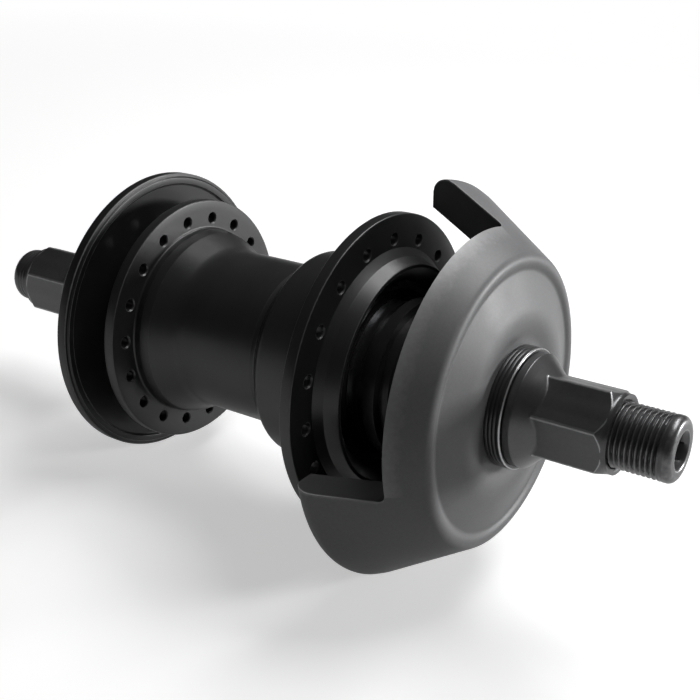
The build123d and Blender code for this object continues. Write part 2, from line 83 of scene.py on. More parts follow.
def rounded(points: Outline, default: float = 0.0, step: float = 15.0) -> Array:
    """Round the corners of a closed outline.

    At a corner with turn angle t, an arc of radius q starts q * tan(t / 2) before the corner and
    ends as far after it. It is divided so that no piece turns by more than step degrees.

    Args:
        points: closed outline of (radius, y) or (radius, y, arc radius), 0 for a sharp corner.
        default: arc radius of corners that give none, made smaller where a side is short.
        step: largest turn per piece, in degrees.

    Returns:
        An array of (radius, y, edge), where edge rises to 1 in the middle of convex arcs; it paints edge wear and a
        highlight there.
    """
    corners = np.array([point[:2] for point in points], float)
    following = np.roll(corners, -1, axis=0)
    area = float(np.sum(corners[:, 0] * following[:, 1] - following[:, 0] * corners[:, 1]))
    out: list[Array] = []
    for index, corner in enumerate(corners):
        before, after = corners[index - 1] - corner, following[index] - corner
        room = SIDE_SHARE * min(np.linalg.norm(before), np.linalg.norm(after))
        before, after = before / np.linalg.norm(before), after / np.linalg.norm(after)
        turn = pi - acos(float(np.clip(before @ after, -1, 1)))
        radius = min(default, room / tan(turn / 2)) if turn > LEAST_TURN else 0.0
        if len(points[index]) > 2:
            radius = points[index][2]
        if radius <= 0:
            out.append(np.array([[corner[0], corner[1], 0.0]]))
            continue
        start = corner + before * radius * tan(turn / 2)
        sign = 1 if before[0] * after[1] - before[1] * after[0] < 0 else -1
        middle = start + radius * sign * np.array([before[1], -before[0]])
        count = max(3, ceil(degrees(turn) / step) + 1)
        angles = np.linspace(0, turn, count) * sign
        arm = start - middle
        cosine, sine = np.cos(angles), np.sin(angles)
        arc = middle + np.stack([arm[0] * cosine - arm[1] * sine, arm[0] * sine + arm[1] * cosine], axis=1)
        convex = 1.0 if (sign > 0) == (area > 0) else 0.0
        # Small convex rounds get the largest edge value, which paints edge wear and a highlight.
        sharpness = min(1.0, BRIGHT_ROUND / radius)
        out.append(np.column_stack([arc, convex * sharpness * np.sin(np.linspace(0, pi, count))]))
    return np.concatenate(out)


def between(outline: Array, first: tuple[float, float], last: tuple[float, float]) -> Array:
    """Cut the stretch of a closed outline from one of its points to another, both kept."""
    places = [int(np.argmin(np.hypot(outline[:, 0] - r, outline[:, 1] - y))) for r, y in (first, last)]
    return np.roll(outline, -places[0], axis=0)[:(places[1] - places[0]) % len(outline) + 1]


def stand(name: str, data: ID, matrix: Matrix | None = None) -> Object:
    """Make an object of its data, at the origin or at a matrix, and link it to the scene."""
    thing = bpy.data.objects.new(name, data)
    if matrix is not None:
        thing.matrix_world = matrix
    bpy.context.scene.collection.objects.link(thing)
    return thing


def field_of(radius: Array, along: Array, angle: Array) -> Array:
    """Points (r cos a, y, r sin a) of radius, y and angle arrays that fit together."""
    radius, along, angle = np.broadcast_arrays(radius, along, angle)
    return np.stack([radius * np.cos(angle), along, radius * np.sin(angle)], axis=-1)


def rings(rows: list[tuple], angles: Array) -> tuple[Array, Array]:
    """Grid and edge values of rows of (radius, y, edge), each one number or one for every angle."""
    radius, along, edge = (np.stack([np.broadcast_to(row[part], angles.shape) for row in rows], axis=1)
                           for part in range(3))
    return field_of(radius, along, angles[:, None]), edge


def full_turn(count: int, start: float = 0.0) -> Array:
    """Angles once round from a start in degrees, the first repeated at the end."""
    return radians(start) + np.linspace(0, 2 * pi, count + 1)


def steps(*stops: tuple[float, float]) -> Array:
    """Places from the first stop on, where each later (end, spacing) is reached in about equal steps."""
    rows = [np.array([stops[0][0]])]
    for (start, _), (end, spacing) in zip(stops, stops[1:]):
        rows.append(np.linspace(start, end, max(1, round(abs(end - start) / spacing)) + 1)[1:])
    return np.concatenate(rows)


def blend_min(first: Array, second: Array, width: float) -> Array:
    """Smaller of two fields, with a round of about the given width where they meet."""
    share = np.clip(0.5 + (second - first) / (2 * width), 0, 1)
    return second * (1 - share) + first * share - width * share * (1 - share)


def nearness(first: Array, second: Array, width: float) -> Array:
    """1 where two fields are equal, falling to 0 as they part by more than a width."""
    return np.exp(-((first - second) / width) ** 2)


@dataclass
class Surface:
    """Gathers grids, welds them and makes one Blender mesh of them."""

    name: str
    points: list[Array] = field(default_factory=list)
    edges: list[Array] = field(default_factory=list)
    painted_shade_values: list[Array] = field(default_factory=list)
    quads: list[Array] = field(default_factory=list)
    count: int = 0

    def grid(self, points: Array, edge: Array | float = 0.0,
             inner: Array | float = 0.0) -> None:
        """Add a (rows, columns, 3) grid of quads.

        Args:
            points: the grid.
            edge: edge value per point or for all, which paints edge wear and a highlight.
            inner: how far each point, or all, lies on an inner face, which gets painted shade.
        """
        rows, columns = points.shape[:2]
        for kept, values in ((self.edges, edge), (self.painted_shade_values, inner)):
            kept.append(np.broadcast_to(np.asarray(values, float), (rows, columns)).reshape(-1))
        self.points.append(points.reshape(-1, 3))
        index = self.count + np.arange(rows * columns).reshape(rows, columns)
        self.count += rows * columns
        quad = np.stack([index[:-1, :-1], index[1:, :-1], index[1:, 1:], index[:-1, 1:]], axis=2)
        self.quads.append(quad.reshape(-1, 4))

    def turn(self, outline: Array, angles: Array) -> None:
        """Add an outline of (radius, y, edge) carried round the axle."""
        self.grid(field_of(outline[None, :, 0], outline[None, :, 1], angles[:, None]), outline[None, :, 2])

    def build(self, sharp: float = 34.0, bevel: float = 0.0) -> Object:
        """Weld equal points, drop flattened faces and make the object, its faces outwards.

        Args:
            sharp: faces that meet at a larger angle, in degrees, keep a hard edge.
            bevel: width of a bevel that takes the place of those hard edges, or 0.

        Returns:
            The object, at the origin, with its edge and inner values in attributes.
        """
        mesh = self._mesh()
        self._turn_outwards(mesh)
        mesh.shade_smooth()
        piece = stand(self.name, mesh)
        if bevel:
            modifier = piece.modifiers.new("bevel", "BEVEL")
            modifier.width, modifier.segments = bevel * MM, 2
            modifier.limit_method, modifier.angle_limit = "ANGLE", radians(sharp)
            modifier.harden_normals = True
        else:
            mesh.set_sharp_from_angle(angle=radians(sharp))
        return piece

    def _mesh(self) -> Mesh:
        """Weld the grids' points and keep their quads, as triangles where two corners fall together."""
        flat = np.concatenate(self.points)
        cells = np.round(flat * WELD_STEPS).astype(np.int64)
        _, first, back = np.unique(cells, axis=0, return_index=True, return_inverse=True)
        quads = back.reshape(-1)[np.concatenate(self.quads)]
        same = quads == np.roll(quads, -1, axis=1)
        whole = quads[~same.any(axis=1)]
        thin = same.sum(axis=1) == 1
        triangles = quads[thin][~same[thin]].reshape(-1, 3)
        corners = np.concatenate([whole.reshape(-1), triangles.reshape(-1)])
        sizes = np.concatenate([np.full(len(whole), 4), np.full(len(triangles), 3)])
        starts = np.concatenate([[0], np.cumsum(sizes)[:-1]])
        mesh = bpy.data.meshes.new(self.name)
        mesh.vertices.add(len(first))
        mesh.vertices.foreach_set("co", (flat[first] * MM).astype(np.float32).reshape(-1))
        mesh.loops.add(len(corners))
        mesh.loops.foreach_set("vertex_index", corners.astype(np.int32))
        mesh.polygons.add(len(sizes))
        mesh.polygons.foreach_set("loop_start", starts.astype(np.int32))
        mesh.update(calc_edges=True)
        for title, kept in ((EDGE, self.edges), (PAINTED_SHADE, self.painted_shade_values)):
            values = mesh.attributes.new(title, "FLOAT", "POINT")
            values.data.foreach_set("value", np.concatenate(kept)[first].astype(np.float32))
        return mesh

    def _turn_outwards(self, mesh: Mesh) -> None:
        """Turn the faces outwards, and log it if the mesh isn't closed."""
        shape = bmesh.new()
        shape.from_mesh(mesh)
        bmesh.ops.recalc_face_normals(shape, faces=shape.faces)
        open_edges = sum(1 for edge in shape.edges if len(edge.link_faces) != 2)
        shape.to_mesh(mesh)
        shape.free()
        if open_edges:
            log.warning("%s has %d open edges", self.name, open_edges)


def place(piece: Object, body: Body, finish: "Finish", *nodes: str) -> None:
    """Dress a piece in a finish, let it ride on its body and stand for its CAD nodes."""
    piece.data.materials.append(finish.material())
    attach(piece, body.value)
    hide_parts(*nodes)
    log.info("piece %s: %d faces on %s", piece.name, len(piece.data.polygons), body.value)


def place_turned(node: str, outline: Array, columns: int, finish: "Finish") -> None:
    """Carry a closed outline round the axle and place it on the axle's body for its CAD node."""
    surface = Surface(f"{node}_turned")
    surface.turn(np.concatenate([outline, outline[:1]]), full_turn(columns))
    place(surface.build(), Body.AXLE, finish, node)


# Shader groups and finishes

@dataclass
class Shades:
    """Small helper that adds and links nodes in one node tree."""

    tree: NodeTree

    def node(self, kind: str, inputs: dict | None = None, **settings: object) -> Node:
        """Add a node, set its options, and set or link its inputs.

        Args:
            kind: the node's Blender type.
            inputs: value or output socket by input name or number.
            settings: options of the node.

        Returns:
            The node.
        """
        node = self.tree.nodes.new(kind)
        for key, value in settings.items():
            setattr(node, key, value)
        for key, value in (inputs or {}).items():
            if isinstance(value, NodeSocket):
                self.tree.links.new(value, node.inputs[key])
            else:
                node.inputs[key].default_value = value
        return node

    def math(self, operation: str, first: object, second: object = 0.0, third: object = 0.0,
             clamp: bool = False) -> NodeSocket:
        """Add a Math node and give back its value."""
        inputs = {0: first, 1: second, 2: third}
        return self.node("ShaderNodeMath", inputs, operation=operation, use_clamp=clamp).outputs[0]

    def scaled(self, vector: object, scale: object) -> NodeSocket:
        """Multiply a vector by a number."""
        return self.node("ShaderNodeVectorMath", {0: vector, 3: scale}, operation="SCALE").outputs[0]

    def noise(self, vector: object, scale: float, detail: float = 2.0, rough: float = 0.5) -> NodeSocket:
        """Add a Noise node on a vector and give back its value."""
        inputs = {"Vector": vector, "Scale": scale, "Detail": detail, "Roughness": rough}
        return self.node("ShaderNodeTexNoise", inputs).outputs[0]

    def spread(self, value: object, low: float, high: float, to_low: float, to_high: float) -> NodeSocket:
        """Map a value's range to another range, clamped."""
        inputs = {0: value, 1: low, 2: high, 3: to_low, 4: to_high}
        return self.node("ShaderNodeMapRange", inputs).outputs[0]


class Effect(Enum):
    """The shared effects that finishes are made of."""

    TURNING = "turning marks"
    GRAIN = "fine grain"
    # Edge wear together with a painted highlight on edges.
    WEAR_AND_HIGHLIGHT = "edge wear"
    CLOUDS = "soft clouds"


def new_group(effect: Effect, inputs: dict[str, float],
              outputs: list[str]) -> tuple[Shades, NodeOutputs]:
    """Start a node group with named number inputs and outputs, and a Vector input called Place.

    Args:
        effect: the effect that names the group.
        inputs: start value by input name.
        outputs: names of the outputs.

    Returns:
        The helper on the group's tree, and the sockets that its inputs come from.
    """
    tree = bpy.data.node_groups.new(effect.value, "ShaderNodeTree")
    tree.interface.new_socket("Place", in_out="INPUT", socket_type="NodeSocketVector")
    for name, value in inputs.items():
        socket = tree.interface.new_socket(name, in_out="INPUT", socket_type="NodeSocketFloat")
        socket.default_value = value
    for name in outputs:
        tree.interface.new_socket(name, in_out="OUTPUT", socket_type="NodeSocketFloat")
    shades = Shades(tree)
    return shades, shades.node("NodeGroupInput").outputs


def turning_group() -> NodeTree:
    """Marks of a lathe tool: noise of radius and y only, so it runs in rings round the axle."""
    shades, source = new_group(Effect.TURNING, {"Pitch": 0.0004}, ["Height", "Tone"])
    x, y, z = shades.node("ShaderNodeSeparateXYZ", {0: source["Place"]}).outputs
    square = shades.math("ADD", shades.math("MULTIPLY", x, x), shades.math("MULTIPLY", z, z))
    across = shades.math("DIVIDE", shades.math("SQRT", square), source["Pitch"])
    ring = shades.node("ShaderNodeCombineXYZ", {0: across, 1: shades.math("DIVIDE", y, source["Pitch"])}).outputs[0]
    shades.node("NodeGroupOutput", {"Height": shades.noise(ring, scale=1.0, detail=3.0, rough=0.6),
                                    "Tone": shades.noise(ring, scale=0.06)})
    return shades.tree


def grain_group() -> NodeTree:
    """Fine moulded or blasted grain: two layers of noise of the given size."""
    shades, source = new_group(Effect.GRAIN, {"Size": 0.0003}, ["Height"])
    scaled = shades.scaled(source["Place"], shades.math("DIVIDE", 1.0, source["Size"]))
    coarse = shades.math("MULTIPLY", shades.noise(scaled, scale=0.5), 0.5)
    fine = shades.noise(scaled, scale=1.3, detail=3.0, rough=0.6)
    shades.node("NodeGroupOutput", {"Height": shades.math("MULTIPLY_ADD", fine, 0.5, coarse)})
    return shades.tree


def clouds_group() -> NodeTree:
    """Soft large patches, as of handling and dust, around one half."""
    shades, source = new_group(Effect.CLOUDS, {"Size": 0.012}, ["Tone"])
    scaled = shades.scaled(source["Place"], shades.math("DIVIDE", 1.0, source["Size"]))
    shades.node("NodeGroupOutput", {"Tone": shades.noise(scaled, scale=1.0, detail=3.0, rough=0.55)})
    return shades.tree


def wear_and_highlight_group() -> NodeTree:
    """Mask of edge wear and painted highlight: the piece's edge value, broken up by noise."""
    per_metre, swing, start, full = 700.0, 0.6, 0.35, 0.95
    shades, source = new_group(Effect.WEAR_AND_HIGHLIGHT, {"Edge": 0.0, "Amount": 0.5}, ["Mask"])
    broken = shades.noise(shades.scaled(source["Place"], per_metre), scale=1.0, detail=4.0, rough=0.65)
    uneven = shades.math("MULTIPLY", shades.math("SUBTRACT", broken, 0.5), swing)
    mask = shades.spread(shades.math("ADD", source["Edge"], uneven), start, full, 0.0, 1.0)
    shades.node("NodeGroupOutput", {"Mask": shades.math("MULTIPLY", mask, source["Amount"], clamp=True)})
    return shades.tree


GROUP_MAKERS = {Effect.TURNING: turning_group, Effect.GRAIN: grain_group, Effect.CLOUDS: clouds_group,
                Effect.WEAR_AND_HIGHLIGHT: wear_and_highlight_group}


def group(effect: Effect) -> NodeTree:
    """Give back an effect's node group, made at its first use."""
    return bpy.data.node_groups.get(effect.value) or GROUP_MAKERS[effect]()


def grouped(shades: Shades, effect: Effect, inputs: dict) -> NodeOutputs:
    """Add an effect's group with the material's own values and give back its outputs."""
    return shades.node("ShaderNodeGroup", inputs, node_tree=group(effect)).outputs


def emptied(owner: Material | World) -> Shades:
    """Clear the nodes of a material or a world and give back the helper on its tree."""
    owner.use_nodes = True
    owner.node_tree.nodes.clear()
    return Shades(owner.node_tree)


@dataclass(frozen=True)
class Finish:
    """A finish: colour, roughness and relief, with the name of its slot.

    Sizes are metres. relief is the depth of the marks or the grain, the wear amount how far bare edges show as edge
    wear and a painted highlight in the edge colour, patch how far the colour wanders in large soft patches, and the
    shade share how much of the colour is left on inner faces, as painted shade.
    """

    title: str
    slot: str
    colour: Three
    edge_wear_and_highlight_colour: Three
    roughness: float
    metallic: float = 0.0
    specular: float = 0.5
    pitch: float = 0.0
    grain: float = 0.0003
    relief: float = 0.00001
    patch: float = 0.15
    wear: float = 0.5
    wear_and_highlight_roughness: float = 0.35
    painted_shade_share: float = 1.0
    tone_swing: float = 0.08
    smoother: float = 0.05
    rougher: float = 0.07

    def material(self) -> Material:
        """Build the material once and give it back."""
        known = bpy.data.materials.get(self.title)
        if known:
            return known
        material = bpy.data.materials.new(self.title)
        shades = emptied(material)
        where = shades.node("ShaderNodeTexCoord").outputs["Object"]
        edge = shades.node("ShaderNodeAttribute", attribute_name=EDGE).outputs["Fac"]
        clouds = grouped(shades, Effect.CLOUDS, {"Place": where})["Tone"]
        worn_and_highlit = grouped(shades, Effect.WEAR_AND_HIGHLIGHT, {"Place": where, "Edge": edge, "Amount": self.wear})["Mask"]
        if self.pitch:
            height, tone = grouped(shades, Effect.TURNING, {"Place": where, "Pitch": self.pitch})
        else:
            height = tone = grouped(shades, Effect.GRAIN, {"Place": where, "Size": self.grain})["Height"]
        # Edge wear and a painted highlight: the edge colour laid over the edges.
        mix = shades.node("ShaderNodeMix", {
            0: worn_and_highlit, 6: shades.scaled(self.colour, self._shade(shades, clouds, tone)), 7: (*self.edge_wear_and_highlight_colour, 1.0),
        }, data_type="RGBA")
        rough = shades.spread(clouds, *CLOUD_RANGE, self.roughness - self.smoother, self.roughness + self.rougher)
        rough = shades.node("ShaderNodeMix", {0: worn_and_highlit, 2: rough, 3: self.wear_and_highlight_roughness}, data_type="FLOAT")
        bump = shades.node("ShaderNodeBump", {"Height": height, "Distance": self.relief, "Strength": 1.0})
        body = shades.node("ShaderNodeBsdfPrincipled", {
            "Base Color": mix.outputs[2], "Roughness": rough.outputs[0], "Metallic": self.metallic,
            "Specular IOR Level": self.specular, "Normal": bump.outputs[0],
        })
        shades.node("ShaderNodeOutputMaterial", {0: body.outputs[0]})
        return material

    def _shade(self, shades: Shades, clouds: NodeSocket, tone: NodeSocket) -> NodeSocket:
        """Factor of the colour from the soft patches, the fine tone and the painted shade on inner faces."""
        patches = shades.math("MULTIPLY_ADD", shades.math("SUBTRACT", clouds, 0.5), 2 * self.patch, 1.0)
        fine = shades.spread(tone, *TONE_RANGE, 1 - self.tone_swing, 1 + self.tone_swing)
        # Painted shade: inner and cut faces get a darker colour.
        inner = shades.node("ShaderNodeAttribute", attribute_name=PAINTED_SHADE).outputs["Fac"]
        painted_shade_factor = shades.spread(inner, 0.0, 1.0, 1.0, self.painted_shade_share)
        return shades.math("MULTIPLY", shades.math("MULTIPLY", patches, fine), painted_shade_factor)


# The second colour of each finish paints edge wear and a highlight on its edges.
SHELL_BLACK = Finish(
    "black anodised shell", "shell_alloy", (0.018, 0.018, 0.0188), (0.22, 0.22, 0.23), 0.34,
    specular=0.6, pitch=0.00022, relief=0.0000035, wear=0.35)
# The guard keeps 0.12 of its colour on inner and cut faces, as painted shade.
GUARD_NYLON = Finish(
    "moulded guard nylon", "guard_nylon", (0.20, 0.201, 0.205), (0.42, 0.42, 0.425), 0.46, metallic=0.1,
    specular=0.30, grain=0.00032, relief=0.000014, wear=0.6, patch=0.10, painted_shade_share=0.12)
DISC_BLACK = Finish(
    "black disc guard", "guard_nylon", (0.009, 0.009, 0.0095), (0.30, 0.30, 0.305), 0.38,
    pitch=0.0003, relief=0.000004, wear=0.6)
BLACK_STEEL = Finish(
    "black oxide steel", "black_steel", (0.11, 0.11, 0.113), (0.60, 0.60, 0.61), 0.32,
    metallic=0.7, grain=0.0004, relief=0.000006)
TURNED_BLACK = Finish(
    "turned black steel", "black_steel", (0.06, 0.06, 0.062), (0.75, 0.75, 0.76), 0.32,
    metallic=0.7, pitch=0.00025, relief=0.000004, wear=0.7)
GROUND_STEEL = Finish(
    "ground bearing steel", "bright_steel", (0.52, 0.53, 0.54), (0.7, 0.7, 0.7), 0.24,
    metallic=1.0, pitch=0.00012, relief=0.000002, wear=0.2)
SEAL_RUBBER = Finish(
    "seal rubber", "seal_rubber", (0.012, 0.012, 0.012), (0.03, 0.03, 0.03), 0.6,
    specular=0.3, grain=0.0002, wear=0.1)
SPACER_ALLOY = Finish(
    "turned alloy", "spacer_alloy", (0.55, 0.56, 0.57), (0.75, 0.75, 0.75), 0.3,
    metallic=1.0, pitch=0.0003, relief=0.000004, wear=0.2)
DRAG_RESIN = Finish(
    "low friction resin", "drag_resin", (0.66, 0.65, 0.60), (0.75, 0.74, 0.70), 0.5, relief=0.000008, wear=0.1)
BEARING_RACES = tuple(f"{bearing}_bearing_{race}_race" for race in ("inner", "outer")
                      for bearing in ("outer_driver", "inner_driver", "non_drive", "drive_side"))


# Studio

@dataclass(frozen=True)
class Lamp:
    """Square softbox in a direction from the hub. Its size is metres and its power watts."""

    towards: Three
    size: float
    power: float

    def build(self, name: str, distance: float) -> None:
        """Hang the lamp at a distance from the origin and aim it there."""
        data = bpy.data.lights.new(name, "AREA")
        data.shape, data.size, data.energy = "SQUARE", self.size, self.power
        aim = Vector(self.towards).normalized()
        turned_to = aim.to_track_quat("Z", "Y").to_matrix().to_4x4()
        stand(name, data, Matrix.Translation(aim * distance) @ turned_to)


@dataclass(frozen=True)
class Studio:
    """Camera, pale floor, lamps and world.

    drive_rest and other_rest are (y, radius) where the two guards rest, floor_gap above the floor.
    The floor's size and fades, the clip and the lamps' distance are metres. floor_seen and
    floor_bounce are the floor's brightness to the camera and to other light, floor_mirrored is how
    far a mirror counts as the camera, and floor_white_near is the share of plain white at the hub.
    """

    camera_mm: Three = (-207.4, -153.7, 107.4)
    azimuth: float = -55.07
    elevation: float = 22.50
    lens_mm: float = 60.94
    sensor_mm: float = 36.0
    clip: tuple[float, float] = (0.01, 50.0)
    drive_rest: tuple[float, float] = (-28.0, 44.4)
    other_rest: tuple[float, float] = (49.0, 35.4)
    floor_size: float = 9.0
    floor_gap: float = 0.05
    floor_white_near: float = 0.50
    floor_bounce: float = 0.20
    floor_seen: float = 1.5
    floor_mirrored: float = 0.5
    floor_fade_start: float = 0.25
    floor_fade_end: float = 0.60
    lamps: tuple[Lamp, ...] = (
        Lamp((0.32, -0.32, 0.89), 0.40, 3.4), Lamp((0.66, -0.74, 0.06), 0.14, 3.6),
        Lamp((0.62, -0.14, 0.77), 0.22, 1.6))
    lamp_distance: float = 0.80
    world_strength: float = 0.055

    def build(self) -> None:
        """Make everything that isn't the hub."""
        self._camera()
        self._floor()
        for number, lamp in enumerate(self.lamps):
            lamp.build(f"softbox_{number}", self.lamp_distance)
        self._world()
        bpy.context.scene.view_settings.view_transform = "Standard"

    def _camera(self) -> None:
        """Camera at the photograph's angle, as its fit gave it."""
        turn, rise = radians(self.azimuth), radians(self.elevation)
        back = Vector((sin(turn) * cos(rise), -cos(turn) * cos(rise), sin(rise)))
        right = Vector((cos(turn), sin(turn), 0))
        up = back.cross(right)
        data = bpy.data.cameras.new("camera")
        data.lens, data.sensor_width = self.lens_mm, self.sensor_mm
        data.clip_start, data.clip_end = self.clip
        turned_to = Matrix((right, up, back)).transposed().to_4x4()
        matrix = Matrix.Translation(Vector(self.camera_mm) * MM) @ turned_to
        bpy.context.scene.camera = stand("camera", data, matrix)

    def _floor(self) -> None:
        """Pale floor under the two guards, tilted as the hub lies on them."""
        (y0, r0), (y1, r1) = self.drive_rest, self.other_rest
        tilt = asin((r0 - r1) / (y1 - y0))
        half = self.floor_size / 2
        height = -(r0 + self.floor_gap) * MM - y0 * MM * tan(tilt)
        corners = [(x, y * cos(tilt), y * sin(tilt) + height)
                   for x, y in ((-half, -half), (half, -half), (half, half), (-half, half))]
        mesh = bpy.data.meshes.new("floor")
        mesh.from_pydata(corners, [], [(0, 1, 2, 3)])
        floor = stand("floor", mesh)
        mesh.materials.append(self._floor_material())

    def _floor_material(self) -> Material:
        """White to the camera away from the hub, and a mix of white and a lit card near it."""
        material = bpy.data.materials.new("pale floor")
        shades = emptied(material)
        path = shades.node("ShaderNodeLightPath")
        mirrored = shades.math("MULTIPLY", path.outputs["Is Glossy Ray"], self.floor_mirrored)
        seen = shades.math("MAXIMUM", path.outputs["Is Camera Ray"], mirrored)
        where = shades.node("ShaderNodeTexCoord").outputs["Object"]
        away = shades.node("ShaderNodeVectorMath", {0: where}, operation="LENGTH").outputs["Value"]
        white_share = shades.spread(away, self.floor_fade_start, self.floor_fade_end, self.floor_white_near, 1.0)
        pale = shades.spread(seen, 0.0, 1.0, self.floor_bounce, self.floor_seen)
        card = shades.node("ShaderNodeBsdfDiffuse", {"Color": shades.scaled((1, 1, 1), pale)}).outputs[0]
        white = shades.node("ShaderNodeEmission").outputs[0]
        share = shades.math("MULTIPLY", seen, white_share)
        blend = shades.node("ShaderNodeMixShader", {0: share, 1: card, 2: white})
        shades.node("ShaderNodeOutputMaterial", {0: blend.outputs[0]})
        return material

    def _world(self) -> None:
        """Even dim surroundings, white where the camera sees them."""
        world = bpy.data.worlds.new("studio")
        shades = emptied(world)
        dim, white = (shades.node("ShaderNodeBackground", {"Color": (1, 1, 1, 1), "Strength": strength}).outputs[0]
                      for strength in (self.world_strength, 1.0))
        seen = shades.node("ShaderNodeLightPath").outputs["Is Camera Ray"]
        blend = shades.node("ShaderNodeMixShader", {0: seen, 1: dim, 2: white})
        shades.node("ShaderNodeOutputWorld", {0: blend.outputs[0]})
        bpy.context.scene.world = world


# The hub

@dataclass(frozen=True)
class Axle:
    """Threaded axle with rounded ends and a countersunk hex socket in each.

    Each stretch of thread is (first y, last y, share of the full depth).
    """

    radius: float = 7.0
    low: float = -88.5
    high: float = 100.0
    end_round: float = 1.5
    socket_flats: float = 6.0
    socket_depth: float = 8.0
    socket_tip: float = 1.2
    countersink_r: float = 4.3
    pitch: float = 1.1
    depth: float = 0.6
    run_out: float = 0.9
    root_flat: float = 0.06
    flank: float = 0.78
    columns: int = 144
    rows_per_turn: int = 12
    plain_step: float = 12.0
    end_arcs: int = 7
    end_painted_highlight: float = 0.45
    crest_wear_and_highlight: float = 0.5
    crest_share: float = 0.35
    stretches: tuple[Three, ...] = ((-86.3, -74.9, 1.0), (54.8, 73.0, 1.0), (92.6, 98.2, 0.3))

    def thread(self, along: Array, angle: Array) -> Array:
        """How deep the thread is at y and angle: a flattened V that climbs one pitch per turn.

        It fades in and out over run_out at the ends of each stretch.
        """
        phase = (along / self.pitch - angle / (2 * pi)) % 1.0
        crest = np.clip((1 - np.abs(2 * phase - 1) - self.root_flat) / self.flank, 0, 1)
        fade = np.zeros_like(along)
        for start, end, share in self.stretches:
            inside = np.clip((along - start) / self.run_out, 0, 1) * np.clip((end - along) / self.run_out, 0, 1)
            fade = fade + share * inside
        return self.depth * fade * (1 - crest)

    def end(self, y: float, inward: float, angles: Array) -> tuple[Array, Array]:
        """Grid and edge values of one end, from the socket's bottom out to the barrel.

        The socket's wall is a hexagon, r = half the flats / cos(angle from the nearest flat). It
        starts where the countersink's 45 degree cone meets it. The rim is a quarter circle. y is the
        end face's place, and inward 1 or -1, the direction of y into the axle.
        """
        nearest = (np.degrees(angles) % 60) - 30
        wall = self.socket_flats / 2 / np.cos(np.radians(nearest))
        bottom = y + inward * self.socket_depth
        # The countersink's rim gets edge wear and a painted highlight, and the rounded rim of the end a painted
        # highlight.
        rows = [(0.0, bottom + inward * self.socket_tip, 0.0), (wall, bottom, 0.0),
                (wall, y + inward * (self.countersink_r - wall), 0.0),
                (self.countersink_r - SOFT_EDGE, y + inward * SOFT_EDGE, 0.0), (self.countersink_r, y, 1.0),
                (self.countersink_r + SOFT_EDGE, y, 0.0)]
        centre = self.radius - self.end_round
        for turn in np.linspace(0, pi / 2, self.end_arcs):
            rows.append((centre + self.end_round * sin(turn),
                         y + inward * self.end_round * (1 - cos(turn)), self.end_painted_highlight))
        return rings(rows, angles)

    def build(self) -> None:
        """Build the axle in place of its CAD node."""
        angles = full_turn(self.columns)
        surface = Surface("axle_threaded")
        for y, inward in ((self.low, 1), (self.high, -1)):
            surface.grid(*self.end(y, inward, angles))
        fine = self.pitch / self.rows_per_turn
        stops = [(self.low + self.end_round, 1.0)]
        for start, end, _ in self.stretches:
            stops += [(start, self.plain_step), (end, fine)]
        stops.append((self.high - self.end_round, 1.0))
        along = steps(*stops)[None, :]
        depth = self.thread(along, angles[:, None])
        # Thread crests get edge wear and a painted highlight, fading where the thread runs out.
        crest = np.clip(1 - depth / (self.crest_share * self.depth), 0, 1)
        edge = crest * np.clip(depth.max(axis=0) / self.depth, 0, 1)
        surface.grid(field_of(self.radius - depth, along, angles[:, None]), self.crest_wear_and_highlight * edge)
        place(surface.build(SHARP_ANGLE), Body.AXLE, BLACK_STEEL, "axle")


